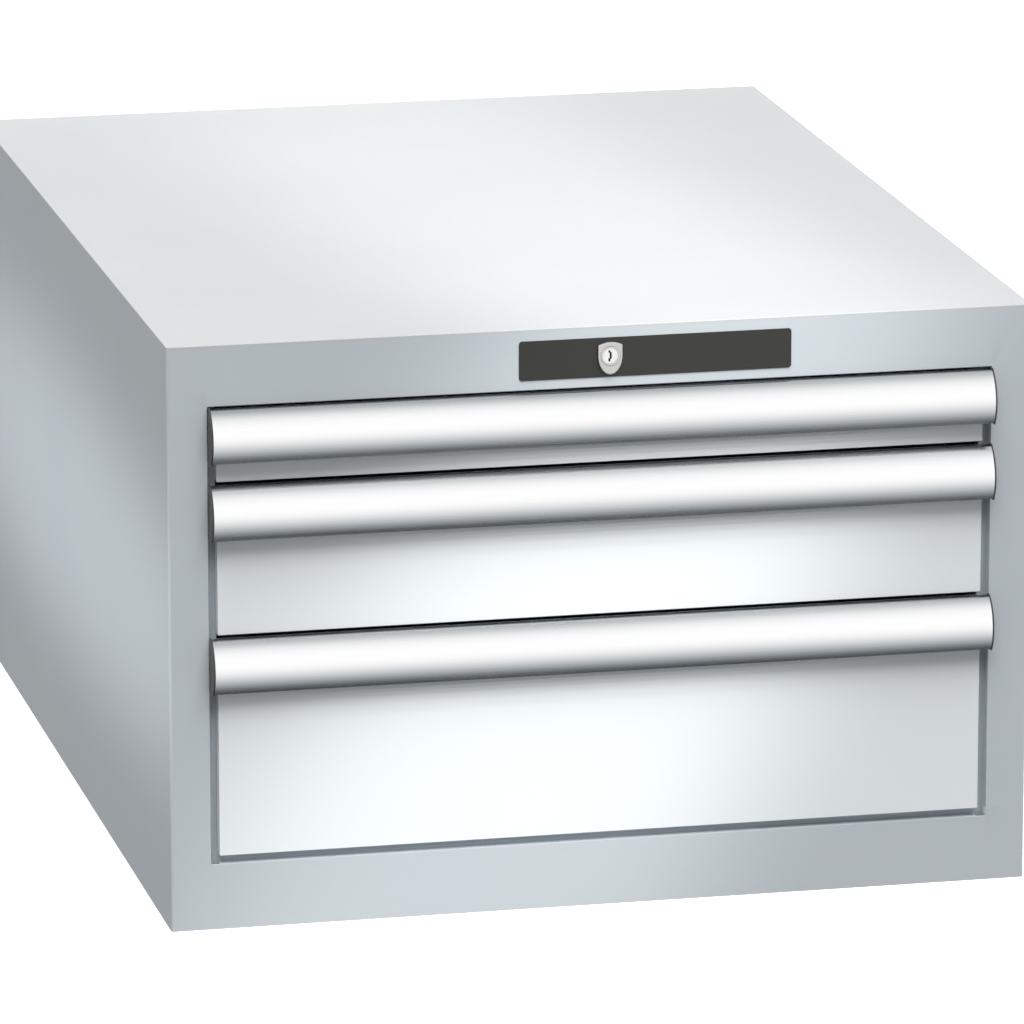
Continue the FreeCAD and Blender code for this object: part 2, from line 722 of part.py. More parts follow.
def lock_plug():
    """Plug that the key turns, with a stepped keyway in its face and a square neck for the cam."""
    face_y = ROSETTE_Y + PLUG_RECESS
    body = rod(PLUG_RADIUS, V(LOCK_X, face_y, LOCK_Z), V(LOCK_X, BARREL_BACK_Y, LOCK_Z))
    body = body.fuse(around_lock(NECK_WIDTH / 2, BARREL_BACK_Y, CAM_Y + CAM_THICKNESS))
    half = KEY_SLOT_WIDTH / 2
    cuts = []
    for shift, low, high in KEY_STEPS:
        cuts.append(box(
            LOCK_X + shift - half, LOCK_X + shift + half, face_y - CUT, face_y + KEY_SLOT_DEPTH,
            LOCK_Z + low, LOCK_Z + high,
        ))
    return body.removeSplitter().cut(cuts)


def drive_pin():
    """Where the cam's pin stands at rest: below the plug, an eighth of a turn to the right."""
    side = DRIVE_RADIUS * math.sin(math.pi / 4)
    return LOCK_X + side, LOCK_Z - side


def lock_cam():
    """Cam on the plug's square neck, with the pin that drives the lock slide."""
    px, pz = drive_pin()
    y1 = CAM_Y + CAM_THICKNESS
    half = PLUG_RADIUS
    turned = V(math.sin(math.pi / 4), 0, -math.sin(math.pi / 4))
    across = V(turned.z, 0, -turned.x).multiply(half)
    head = V(LOCK_X, CAM_Y, LOCK_Z).sub(V(turned).multiply(half))
    foot = V(px, CAM_Y, pz).add(V(turned).multiply(half))
    arm = face_of([head.add(across), foot.add(across), foot.sub(across), head.sub(across)])
    arm = arm.extrude(V(0, CAM_THICKNESS, 0))
    pin = rod(PIN_RADIUS, V(px, CAM_Y, pz), V(px, SLIDE_Y + SLIDE_SHEET + CAM_CLEARANCE, pz))
    cam = arm.fuse(pin).removeSplitter()
    return cam.cut(around_lock(NECK_WIDTH / 2 + PLUG_FIT, CAM_Y - CUT, y1 + CUT))


def slot_between(x0, z0, x1, z1):
    """Cutter for a pin's slot through the lock slide, its round ends centred on two points."""
    radius = PIN_RADIUS + PIN_PLAY
    y0 = SLIDE_Y - CUT
    y1 = SLIDE_Y + SLIDE_SHEET + CUT
    length = math.hypot(x1 - x0, z1 - z0)
    across = V(-(z1 - z0) / length * radius, 0, (x1 - x0) / length * radius)
    a = V(x0, y0, z0)
    b = V(x1, y0, z1)
    flat = face_of([a + across, b + across, b - across, a - across]).extrude(V(0, y1 - y0, 0))
    ends = [rod(radius, V(x, y0, z), V(x, y1, z)) for x, z in ((x0, z0), (x1, z1))]
    return flat.fuse(ends).removeSplitter()


def bar_pin():
    return BAR_X + BAR_WIDTH / 2, LOCK_Z + LOCK_STROKE / 2


def lock_slide():
    """Flat bar from the lock to the right side: an upright slot for the cam, a 45 degree one for the bar."""
    px, pz = drive_pin()
    bx, bz = bar_pin()
    x1 = bx + LOCK_STROKE + 2 * (PIN_RADIUS + PIN_PLAY)
    half = SLIDE_HEIGHT / 2
    plate = box(SLIDE_LEFT, x1, SLIDE_Y, SLIDE_Y + SLIDE_SHEET, LOCK_Z - half, LOCK_Z + half)
    lower = LOCK_Z - DRIVE_RADIUS
    return plate.cut([
        slot_between(px, lower, px, pz),
        slot_between(bx, bz, bx + LOCK_STROKE, bz - LOCK_STROKE),
    ])


def lock_bar():
    """Upright bar beside the drawers, raised and dropped by its pin in the slide's slanted slot."""
    bx, bz = bar_pin()
    low = zone_bottoms()[-1] + CATCH_RISE - LOCK_STROKE
    bar = box(BAR_X, BAR_X + BAR_WIDTH, BAR_Y, BAR_Y + BAR_THICKNESS, low, bz + BAR_WIDTH / 2)
    pin = rod(PIN_RADIUS, V(bx, BAR_Y, bz), V(bx, SLIDE_Y + SLIDE_SHEET + CAM_CLEARANCE, bz))
    return bar.fuse(pin).removeSplitter()


def lock_hooks():
    """One hook per drawer, riveted to the bar's inner side."""
    hooks = []
    for zone in zone_bottoms():
        z0 = zone + HOOK_TOOTH_RISE
        z1 = z0 + HOOK_TOOTH_HEIGHT
        tip = LIP_X - HOOK_TOOTH_REACH
        tooth = box(tip, BAR_X, BAR_Y, BAR_Y + BAR_THICKNESS, z0, z1)
        foot = box(BAR_X - RAIL_SHEET, BAR_X, BAR_Y, BAR_Y + BAR_THICKNESS, z0, z0 + HOOK_FOOT_HEIGHT)
        hooks.append(tooth.fuse(foot).removeSplitter())
    return Part.makeCompound(hooks)


def lock_guides():
    """Brackets that hold the slide under the top, and clips on the front post that hold the bar."""
    half = SLIDE_HEIGHT / 2
    behind = SLIDE_Y + SLIDE_SHEET + GUIDE_PLAY
    before = SLIDE_Y - GUIDE_PLAY
    low = LOCK_Z - half - GUIDE_PLAY
    made = []
    for x in (LIP_X / 4, LIP_X * 3 / 4):
        made.append(folded_across([
            (behind, UNDER_TOP), (behind, low), (before, low), (before, low + GUIDE_UPTURN),
        ], GUIDE_SHEET, x, x + GUIDE_WIDTH))
    left = BAR_X - GUIDE_PLAY
    right = BAR_X + BAR_WIDTH + GUIDE_PLAY
    base = POST_Y - GUIDE_SHEET
    levels = zone_bottoms()
    for z in (levels[1] - 2 * FLOOR_RISE - GUIDE_WIDTH, levels[0] - 2 * FLOOR_RISE - GUIDE_WIDTH):
        made.append(folded_upright([
            (left, BAR_Y), (left, base), (right, base), (right, BAR_Y),
        ], GUIDE_SHEET, z, z + GUIDE_WIDTH))
    return Part.makeCompound(made)


# Assembly

def build():
    parts = {
        "side_panel_right": side_panel(),
        "side_panel_left": mirrored(side_panel()),
        "top_panel": top_panel(),
        "base_panel": base_panel(),
        "rear_panel": rear_panel(),
        "front_top_rail": front_top_rail(),
        "front_bottom_rail": front_bottom_rail(),
        "slotted_posts": slotted_posts(),
        "lock_plate": lock_plate(),
        "lock_rosette": lock_rosette(),
        "lock_cylinder": lock_cylinder(),
        "lock_nut": lock_nut(),
        "lock_plug": lock_plug(),
        "lock_cam": lock_cam(),
        "lock_slide": lock_slide(),
        "lock_bar": lock_bar(),
        "lock_hooks": lock_hooks(),
        "lock_guides": lock_guides(),
    }
    for number, (zone, height) in enumerate(zip(zone_bottoms(), FRONT_HEIGHTS), 1):
        name = f"drawer_{number}_"
        lowest = number == len(FRONT_HEIGHTS)
        floor_z = zone + FLOOR_RISE
        wall_top = zone + height - WALL_TOP_DROP
        level = floor_z + SLIDE_RISE
        handle_top = zone + height - HANDLE_DROP
        panel_low = zone + (FRONT_LOW_GAP if lowest else FRONT_BETWEEN)
        parts[name + "front"] = front_panel(panel_low, zone + height - FRONT_TOP_GAP)
        parts[name + "handle"] = handle(handle_top)
        parts[name + "handle_caps"] = handle_caps(handle_top)
        parts[name + "floor"] = drawer_floor(floor_z)
        parts[name + "side_walls"] = side_walls(floor_z, wall_top)
        parts[name + "end_walls"] = end_walls(floor_z, wall_top)
        parts[name + "catch"] = catch(zone)
        parts[name + "rails"] = drawer_rails(level)
        parts[name + "middle_rails"] = middle_rails(level)
        parts[name + "axles"] = axles(level)
        parts[name + "front_rollers"] = rollers(FRONT_AXLE_Y, level)
        parts[name + "centre_rollers"] = rollers(CENTRE_AXLE_Y, level)
        parts[name + "rear_glides"] = rear_glides(level)
        parts[name + "cabinet_rails"] = cabinet_rails(level)
    return parts


os.makedirs("parts", exist_ok=True)
for node, shape in build().items():
    if not shape.isValid():
        print("not valid:", node)
    shape.exportStep(f"parts/{node}.step")
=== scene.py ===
import json
import math

import bmesh
import bpy
from mathutils import Matrix, Vector


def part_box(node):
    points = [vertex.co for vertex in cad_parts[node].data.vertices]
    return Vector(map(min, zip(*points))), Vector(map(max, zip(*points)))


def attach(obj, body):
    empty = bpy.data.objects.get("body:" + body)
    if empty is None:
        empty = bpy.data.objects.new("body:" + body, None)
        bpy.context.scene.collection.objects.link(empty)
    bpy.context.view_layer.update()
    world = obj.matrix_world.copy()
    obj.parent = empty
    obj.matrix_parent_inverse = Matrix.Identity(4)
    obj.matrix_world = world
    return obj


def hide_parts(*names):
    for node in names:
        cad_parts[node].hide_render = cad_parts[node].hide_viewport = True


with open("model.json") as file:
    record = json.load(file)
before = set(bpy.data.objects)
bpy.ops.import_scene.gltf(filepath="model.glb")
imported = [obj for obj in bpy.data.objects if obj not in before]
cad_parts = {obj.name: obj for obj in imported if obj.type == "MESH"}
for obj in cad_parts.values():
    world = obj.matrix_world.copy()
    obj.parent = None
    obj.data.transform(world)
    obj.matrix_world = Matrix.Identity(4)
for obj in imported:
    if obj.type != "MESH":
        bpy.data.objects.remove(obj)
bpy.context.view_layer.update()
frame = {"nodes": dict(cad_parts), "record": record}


# Housing: folded sheet steel, 1.5 mm thick, welded into one box and coated with light grey
# powder paint. The side walls turn in at the front as the stiles of the frame, and the top
# lies over both of them, with its edges ground round. Sizes are in millimetres.
MM = 0.001
MERGE = 0.001
CLOSE = 0.01
FLAT_ANGLE = math.radians(0.5)
SMOOTH_ANGLE = math.radians(32)
FOLD_RADIUS = 0.6
NEARBY = 1.0
TOP_LAP = 2.0
CLOUD_WIDTH = 180.0
PEEL_WIDTH = 3.2
owner = {node: body for body, nodes in frame["record"]["behaviour"]["bodies"].items() for node in nodes}


def linear(text):
    """Linear colour, with alpha, of an sRGB hex value."""
    parts = [int(text[i:i + 2], 16) / 255 for i in (1, 3, 5)]
    return [p / 12.92 if p <= 0.04045 else ((p + 0.055) / 1.055) ** 2.4 for p in parts] + [1.0]


def add(tree, kind, settings=None, links=None):
    """Adds a shader node, sets its options, sockets and colour stops, and links its inputs."""
    node = tree.nodes.new(kind)
    for key, value in (settings or {}).items():
        if key == "stops":
            elements = node.color_ramp.elements
            while len(elements) < len(value):
                elements.new(0.5)
            for element, (position, colour) in zip(elements, value):
                element.position = position
                element.color = linear(colour)
        elif key in node.inputs:
            node.inputs[key].default_value = value
        else:
            setattr(node, key, value)
    for key, source in (links or {}).items():
        tree.links.new(source, node.inputs[key])
    return node


def new_material(name):
    """Empty material: its tree, and the output that a surface is linked to."""
    material = bpy.data.materials.new(name)
    material.use_nodes = True
    material.node_tree.nodes.clear()
    output = material.node_tree.nodes.new("ShaderNodeOutputMaterial")
    return material, material.node_tree, output


def spread(low, high):
    """Settings that spread the usual values of a noise from low to high."""
    return {"From Min": 0.3, "From Max": 0.7, "To Min": low, "To Max": high}


def powder_coat(name, colour, deeper, roughness):
    """Baked powder paint: even colour, soft sheen, and the faint orange peel that the melt leaves."""
    material, tree, output = new_material(name)
    place = add(tree, "ShaderNodeTexCoord").outputs["Object"]
    cloud = add(
        tree, "ShaderNodeTexNoise", {"Scale": 1 / (CLOUD_WIDTH * MM), "Detail": 2.0}, {"Vector": place})
    peel = add(
        tree, "ShaderNodeTexNoise", {"Scale": 1 / (PEEL_WIDTH * MM), "Detail": 1.0}, {"Vector": place})
    tint = add(
        tree, "ShaderNodeValToRGB", {"stops": [(0.3, deeper), (0.7, colour)]}, {"Fac": cloud.outputs["Fac"]})
    gloss = add(tree, "ShaderNodeMapRange", spread(roughness - 0.02, roughness + 0.02), {
        "Value": peel.outputs["Fac"],
    })
    bump = add(
        tree, "ShaderNodeBump", {"Strength": 0.05, "Distance": 0.05 * MM}, {"Height": peel.outputs["Fac"]})
    surface = add(tree, "ShaderNodeBsdfPrincipled", {"IOR": 1.5}, {
        "Base Color": tint.outputs["Color"],
        "Roughness": gloss.outputs["Result"],
        "Normal": bump.outputs["Normal"],
    })
    tree.links.new(surface.outputs["BSDF"], output.inputs["Surface"])
    return material


def dress(node, material):
    """Gives a CAD node its finish."""
    for slot in frame["nodes"][node].material_slots:
        slot.material = material


def piece(name, bm, material, node):
    """Turns a shape in millimetres into a finished piece that stands for a node."""
    bmesh.ops.scale(bm, vec=(MM, MM, MM), verts=bm.verts)
    mesh = bpy.data.meshes.new(name)
    bm.to_mesh(mesh)
    bm.free()
    mesh.shade_smooth()
    mesh.set_sharp_from_angle(angle=SMOOTH_ANGLE)
    mesh.materials.append(material)
    made = bpy.data.objects.new(name, mesh)
    made.modifiers.new("flat_faces_stay_flat", "WEIGHTED_NORMAL").keep_sharp = True
    bpy.context.scene.collection.objects.link(made)
    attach(made, owner[node])
    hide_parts(node)
    return made


def corners(node):
    """A CAD node's lowest and highest corner, in millimetres."""
    low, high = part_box(node)
    return low / MM, high / MM


def merged_copy(node):
    """The node's shape in millimetres, with its loose triangles joined and its flat faces whole."""
    bm = bmesh.new()
    bm.from_mesh(frame["nodes"][node].data)
    bmesh.ops.scale(bm, vec=(1 / MM, 1 / MM, 1 / MM), verts=bm.verts)
    bmesh.ops.remove_doubles(bm, verts=bm.verts, dist=MERGE)
    bmesh.ops.dissolve_limit(bm, angle_limit=FLAT_ANGLE, verts=bm.verts, edges=bm.edges)
    return bm


def sharp_edges(bm, test):
    """Outward corners whose middle passes the test."""
    found = []
    for edge in bm.edges:
        if len(edge.link_faces) == 2 and edge.calc_face_angle_signed() > SMOOTH_ANGLE:
            a, b = (v.co for v in edge.verts)
            if test((a + b) / 2):
                found.append(edge)
    return found


def round_off(bm, edges, radius, segments=4):
    """Rounds some edges, and keeps their roundings from running into each other."""
    bmesh.ops.bevel(
        bm, geom=edges, offset=radius, affect="EDGES", segments=segments, profile=0.5, material=-1,
        clamp_overlap=True)


def softened(node, material, radius, test, segments=3, cuts=()):
    """Piece with the node's own shape, cut level at some heights, its corners rounded by a test."""
    bm = merged_copy(node)
    for height in cuts:
        bmesh.ops.bisect_plane(
            bm, geom=bm.verts[:] + bm.edges[:] + bm.faces[:], plane_co=(0, 0, height), plane_no=(0, 0, 1))
    round_off(bm, sharp_edges(bm, test), radius, segments)
    return piece(node + "_shape", bm, material, node)


front_y = corners("front_top_rail")[0].y
side_x = corners("side_panel_right")[1].x
top_z = corners("top_panel")[1].z
opening_low = corners("front_bottom_rail")[1].z
opening_high = corners("front_top_rail")[0].z


def beside_opening(p):
    """Whether a point is on the frame's face, at a height within the opening or at its edge."""
    return p.y < front_y + CLOSE and opening_low - CLOSE < p.z < opening_high + CLOSE


def stile_edge(p):
    """Whether a point is on a stile's edge, outside or beside the opening, and below the top's lap."""
    outside = p.y < front_y + CLOSE and abs(p.x) > side_x - NEARBY
    return p.z < top_z - TOP_LAP and (outside or beside_opening(p))


# The top gets a more neutral grey than the frame, a painted tint that stands in for the light falling on it.
housing_paint = powder_coat("light_grey_powder_coat", "#c0c8cd", "#bdc5cb", 0.42)
top_paint_painted_light = powder_coat("top_powder_coat_painted_light_tint", "#bec2c4", "#bbbfc1", 0.42)
for node in ("base_panel", "rear_panel"):
    dress(node, housing_paint)
softened("top_panel", top_paint_painted_light, FOLD_RADIUS, lambda p: p.z > top_z - NEARBY)
for node in ("side_panel_left", "side_panel_right"):
    softened(node, housing_paint, FOLD_RADIUS, stile_edge, cuts=(opening_low, opening_high))
for node in ("front_top_rail", "front_bottom_rail"):
    softened(node, housing_paint, FOLD_RADIUS, lambda p: abs(p.x) < NEARBY and beside_opening(p))


# Zinc-plated parts: posts, slides, lock bars and brackets, pressed and punched from steel strip
# and bright zinc plated, which leaves a cool, slightly clouded metal.
ZINC_CLOUD = 14.0


def zinc_plate():
    """Bright zinc on rolled steel: cool grey metal with soft clouds from the bath."""
    material, tree, output = new_material("zinc_plated_steel")
    place = add(tree, "ShaderNodeTexCoord").outputs["Object"]
    cloud = add(
        tree, "ShaderNodeTexNoise", {"Scale": 1 / (ZINC_CLOUD * MM), "Detail": 4.0}, {"Vector": place})
    tint = add(
        tree, "ShaderNodeValToRGB", {"stops": [(0.35, "#b3b9bd"), (0.65, "#cdd2d4")]},
        {"Fac": cloud.outputs["Fac"]})
    gloss = add(tree, "ShaderNodeMapRange", spread(0.3, 0.42), {"Value": cloud.outputs["Fac"]})
    surface = add(tree, "ShaderNodeBsdfPrincipled", {"Metallic": 1.0}, {
        "Base Color": tint.outputs["Color"],
        "Roughness": gloss.outputs["Result"],
    })
    tree.links.new(surface.outputs["BSDF"], output.inputs["Surface"])
    return material


zinc = zinc_plate()
for node in frame["nodes"]:
    if node.endswith(("_rails", "_axles", "_catch")) or node in (
            "slotted_posts", "lock_nut", "lock_guides", "lock_slide", "lock_bar", "lock_hooks", "lock_cam"):
        dress(node, zinc)


# Rollers and glides: wheels turned from natural nylon, which run on the steel axles, and small
# nylon blocks pressed onto the ends of the middle rails.
NYLON_GRAIN = 1.5


def moulded(name, colour, roughness, grain):
    """Moulded or turned plastic: one colour with a fine even grain."""
    material, tree, output = new_material(name)
    place = add(tree, "ShaderNodeTexCoord").outputs["Object"]
    noise = add(tree, "ShaderNodeTexNoise", {"Scale": 1 / (grain * MM), "Detail": 2.0}, {"Vector": place})
    bump = add(
        tree, "ShaderNodeBump", {"Strength": 0.12, "Distance": 0.05 * MM}, {"Height": noise.outputs["Fac"]})
    gloss = add(tree, "ShaderNodeMapRange", spread(roughness - 0.04, roughness + 0.04), {
        "Value": noise.outputs["Fac"],
    })
    surface = add(tree, "ShaderNodeBsdfPrincipled", {"Base Color": linear(colour), "IOR": 1.5}, {
        "Roughness": gloss.outputs["Result"],
        "Normal": bump.outputs["Normal"],
    })
    tree.links.new(surface.outputs["BSDF"], output.inputs["Surface"])
    return material


nylon = moulded("natural_nylon", "#e6e3d8", 0.45, NYLON_GRAIN)
for node in frame["nodes"]:
    if node.endswith(("_rollers", "_glides")):
        dress(node, nylon)


# Drawer bodies: a floor and four walls of 1 mm sheet steel, welded together and powder coated.
# The walls are slotted for dividers.
drawer_paint = powder_coat("drawer_powder_coat", "#c4cace", "#c0c6ca", 0.5)
for node in frame["nodes"]:
    if node.endswith(("_floor", "_side_walls", "_end_walls")):
        dress(node, drawer_paint)


# Drawer fronts: a tray of 1.2 mm sheet with its four edges folded back, powder coated a shade
# paler than the housing. The folds catch the light, and the top fold lies just under the
# handle's top, in its shade.
FRONT_SHEET = 1.2
FRONT_RADIUS = 0.6
CORNER_RADIUS = 0.8
TOP_STEP = 1.5
front_paint = powder_coat("drawer_front_powder_coat", "#eaf0f4", "#e8eef2", 0.38)


def drawer_front(number):
    """A box open to the back, given its wall, then rounded along its welds and folds but not at the top."""
    name = f"drawer_{number}_front"
    low, high = corners(name)
    high.z -= TOP_STEP
    bm = bmesh.new()
    bmesh.ops.create_cube(bm, size=1)
    bmesh.ops.scale(bm, vec=high - low, verts=bm.verts)
    bmesh.ops.translate(bm, vec=(low + high) / 2, verts=bm.verts)
    back = [f for f in bm.faces if f.normal.y > 0.9]
    bmesh.ops.delete(bm, geom=back, context="FACES_ONLY")
    bmesh.ops.solidify(bm, geom=bm.faces[:], thickness=FRONT_SHEET)
    bmesh.ops.recalc_face_normals(bm, faces=bm.faces[:])
    welds = [
        e for e in sharp_edges(bm, lambda p: abs(p.x) > high.x - MERGE)
        if abs(e.verts[0].co.y - e.verts[1].co.y) > high.y - low.y - MERGE]
    round_off(bm, welds, CORNER_RADIUS)
    folds = sharp_edges(bm, lambda p: p.y < low.y + MERGE and p.z < high.z - MERGE)
    round_off(bm, folds, FRONT_RADIUS)
    return piece(name + "_sheet", bm, front_paint, name)


for number in (1, 2, 3):
    drawer_front(number)


# Handles: a profile extruded in aluminium and clear anodised, as wide as the opening. Its leg
# is riveted to the top of the drawer front, its bowed face hangs in front of the fingers.
TOP_REACH = 5.0
BOW_REACH = 15.0
BOW_DROP = 17.5
LOW_REACH = 11.0
WALL = 2.0
LEG = 9.0
FOOT = 0.5
TOP_CORNER = 4.0
TOP_CORNER_SEGMENTS = 8
ARC_STEPS = 40
DIE_LINE = 0.9
DIE_LINE_STRETCH = 0.004


def anodised(name):
    """Satin anodised aluminium: pale metal with the faint straight lines of the extrusion die,
    drawn wider than they are so that they show, and with painted shade that darkens it where it faces up."""
    material, tree, output = new_material(name)
    place = add(tree, "ShaderNodeTexCoord").outputs["Object"]
    along = add(tree, "ShaderNodeMapping", {"Scale": (DIE_LINE_STRETCH, 1.0, 1.0)}, {"Vector": place})
    lines = add(tree, "ShaderNodeTexNoise", {"Scale": 1 / (DIE_LINE * MM), "Detail": 3.0}, {
        "Vector": along.outputs["Vector"],
    })
    gloss = add(tree, "ShaderNodeMapRange", spread(0.22, 0.28), {"Value": lines.outputs["Fac"]})
    bump = add(
        tree, "ShaderNodeBump", {"Strength": 0.015, "Distance": 0.02 * MM}, {"Height": lines.outputs["Fac"]})
    # Painted shade: faces that point up are coloured dark grey, the rest stay pale.
    facing = add(tree, "ShaderNodeNewGeometry").outputs["Normal"]
    painted_shade_facing_z = add(tree, "ShaderNodeSeparateXYZ", links={"Vector": facing})
    tint = add(tree, "ShaderNodeValToRGB", {"stops": [(0.8, "#fafafa"), (0.97, "#7c8084")]}, {
        "Fac": painted_shade_facing_z.outputs["Z"],
    })
    surface = add(tree, "ShaderNodeBsdfPrincipled", {"Metallic": 1.0}, {
        "Base Color": tint.outputs["Color"],
        "Roughness": gloss.outputs["Result"],
        "Normal": bump.outputs["Normal"],
    })
    tree.links.new(surface.outputs["BSDF"], output.inputs["Surface"])
    return material


def circle_through(a, b, c):
    """Centre and radius of the circle through three points of a plane."""
    d = 2 * (a[0] * (b[1] - c[1]) + b[0] * (c[1] - a[1]) + c[0] * (a[1] - b[1]))
    aa, bb, cc = (p[0] ** 2 + p[1] ** 2 for p in (a, b, c))
    x = (aa * (b[1] - c[1]) + bb * (c[1] - a[1]) + cc * (a[1] - b[1])) / d
    y = (aa * (c[0] - b[0]) + bb * (a[0] - c[0]) + cc * (b[0] - a[0])) / d
    return x, y, math.hypot(a[0] - x, a[1] - y)


def on_circle(circle, height):
    """Outer point of a circle at a height."""
    return circle[0] + math.sqrt(circle[2] ** 2 - (height - circle[1]) ** 2), height


def direction(circle, point):
    """Angle at which a point is seen from a circle's centre."""
    return math.atan2(point[1] - circle[1], point[0] - circle[0])


class Section:
    """Outline of a handle at one end. Its points are the reach before the drawer front and the
    height against the handle's top."""

    def __init__(self, x, top):
        self.bm = bmesh.new()
        self.x = x
        self.top = top

    def place(self, reach, height):
        return self.x, front_y - reach, self.top + height

    def vertex(self, reach, height):
        return self.bm.verts.new(self.place(reach, height))

    def line(self, start, points):
        """Goes on from a vertex through some points, and returns the last vertex."""
        for point in points:
            vert = self.vertex(*point)
            self.bm.edges.new((start, vert))
            start = vert
        return start

    def arc(self, start, circle, first, last):
        """Goes on from a vertex along a circle, and returns the last vertex."""
        swept = bmesh.ops.spin(
            self.bm, geom=[start], cent=self.place(*circle[:2]), axis=(1, 0, 0),
            angle=direction(circle, first) - direction(circle, last), steps=ARC_STEPS, use_duplicate=False)
        return [g for g in swept["geom_last"] if isinstance(g, bmesh.types.BMVert)][0]

    def run_across(self, width):
        """Closes the outline with a face and extrudes it to the other end."""
        face = bmesh.ops.contextual_create(self.bm, geom=self.bm.edges[:])["faces"]
        made = bmesh.ops.extrude_face_region(self.bm, geom=face)["geom"]
        verts = [g for g in made if isinstance(g, bmesh.types.BMVert)]
        bmesh.ops.translate(self.bm, vec=(width, 0, 0), verts=verts)
        bmesh.ops.recalc_face_normals(self.bm, faces=self.bm.faces[:])
        return self.bm


def handle(number, material):
    """The outline of leg, hollow, foot and bow, run across the drawer and rounded at its top."""
    name = f"drawer_{number}_handle"
    low, high = corners(name)
    drop = low.z - high.z
    outer = circle_through((TOP_REACH, 0.0), (BOW_REACH, -BOW_DROP), (LOW_REACH, drop))
    inner = (outer[0], outer[1], outer[2] - WALL)
    upper, lower = on_circle(inner, -WALL), on_circle(inner, drop + WALL)
    foot = LOW_REACH - WALL - FOOT
    section = Section(low.x, high.z)
    start = section.vertex(0, 0)
    vert = section.line(start, [(0, -LEG), (WALL, -LEG), (WALL, -WALL), upper])
    vert = section.arc(vert, inner, upper, lower)
    vert = section.line(vert, [(foot, drop + WALL), (foot, drop), (LOW_REACH, drop)])
    vert = section.arc(vert, outer, (LOW_REACH, drop), (TOP_REACH, 0.0))
    section.bm.edges.new((vert, start))
    bm = section.run_across(high.x - low.x)
    turn = math.pi / 2 - direction(outer, (TOP_REACH, 0.0))
    corner = [e for e in bm.edges if all(
        abs(v.co.y - front_y + TOP_REACH) < MERGE and abs(v.co.z - high.z) < MERGE for v in e.verts)]
    round_off(bm, corner, TOP_CORNER * math.tan(turn / 2), TOP_CORNER_SEGMENTS)
    return piece(name + "_profile", bm, material, name)


aluminium = anodised("clear_anodised_aluminium_with_painted_top_shade")
for number in (1, 2, 3):
    handle(number, aluminium)


# Handle end caps: dark grey moulded plastic, each with a plug that is pressed into the open end
# of the profile and a flange that covers its cut edge.
CAP_EDGE = 0.35
PLASTIC_GRAIN = 0.9
cap_plastic = moulded("dark_grey_plastic", "#3d3d3b", 0.5, PLASTIC_GRAIN)
cap_end = corners("drawer_1_handle_caps")[1].x
for number in (1, 2, 3):
    softened(f"drawer_{number}_handle_caps", cap_plastic, CAP_EDGE, lambda p: abs(p.x) > cap_end - CLOSE)


# Lock: an anthracite plastic plate on the frame, a nickel-plated surround shaped like a shield,
# and a cylinder with a dished ring and a bright plug, held by a nut behind the frame. The holes
# keep sharp edges, as bored, and painted shade makes the inside of the keyway black.
PLATE_EDGE = 0.3
PLATE_HOLE = 8.0
ROSETTE_EDGE = 0.9
ROSETTE_EDGE_SEGMENTS = 5
ROSETTE_HOLE = 7.5
RING_EDGE = 0.4
RING_EDGE_SEGMENTS = 4
RING_HOLE = 6.0
KEYWAY_REACH = 4.7
KEYWAY_START = 0.05
KEYWAY_SHADE_GRAIN = 0.5
POLISH_GRAIN = 2.0


def plated(name, colour, roughness):
    """Plated metal: smooth, with a trace of polishing in its gloss."""
    material, tree, output = new_material(name)
    place = add(tree, "ShaderNodeTexCoord").outputs["Object"]
    noise = add(
        tree, "ShaderNodeTexNoise", {"Scale": 1 / (POLISH_GRAIN * MM), "Detail": 3.0}, {"Vector": place})
    gloss = add(tree, "ShaderNodeMapRange", spread(roughness - 0.03, roughness + 0.03), {
        "Value": noise.outputs["Fac"],
    })
    surface = add(tree, "ShaderNodeBsdfPrincipled", {"Base Color": linear(colour), "Metallic": 1.0}, {
        "Roughness": gloss.outputs["Result"],
    })
    tree.links.new(surface.outputs["BSDF"], output.inputs["Surface"])
    return material


lock_middle = sum(corners("lock_plug"), Vector()) / 2


def from_axis(p):
    """Distance of a point from the lock's axis."""
    return math.hypot(p.x - lock_middle.x, p.z - lock_middle.z)


def outline_of(node, hole):
    """Test for the edges of a node's front face outside its hole."""
    face_y = corners(node)[0].y
    return lambda p: p.y < face_y + CLOSE and from_axis(p) > hole


plate_plastic = moulded("anthracite_plastic", "#2b2b29", 0.55, PLASTIC_GRAIN)
nickel = plated("satin_nickel", "#d8d8d6", 0.3)
nickel_silver = plated("polished_nickel_silver", "#fdfdfd", 0.2)
# Near-black painted shade for the inside of the keyway.
painted_keyway_shade = moulded("painted_keyway_shade", "#0c0c0c", 0.8, KEYWAY_SHADE_GRAIN)
softened("lock_plate", plate_plastic, PLATE_EDGE, outline_of("lock_plate", PLATE_HOLE))
softened(
    "lock_rosette", nickel, ROSETTE_EDGE, outline_of("lock_rosette", ROSETTE_HOLE), ROSETTE_EDGE_SEGMENTS)
softened("lock_cylinder", nickel, RING_EDGE, outline_of("lock_cylinder", RING_HOLE), RING_EDGE_SEGMENTS)
plug = piece("lock_plug_shape", merged_copy("lock_plug"), nickel_silver, "lock_plug")
plug.data.materials.append(painted_keyway_shade)
keyway_y = corners("lock_plug")[0].y + KEYWAY_START
# Painted shade: the faces inside the keyway take the near-black second material.
for polygon in plug.data.polygons:
    spot = polygon.center / MM
    if spot.y > keyway_y and from_axis(spot) < KEYWAY_REACH:
        polygon.material_index = 1


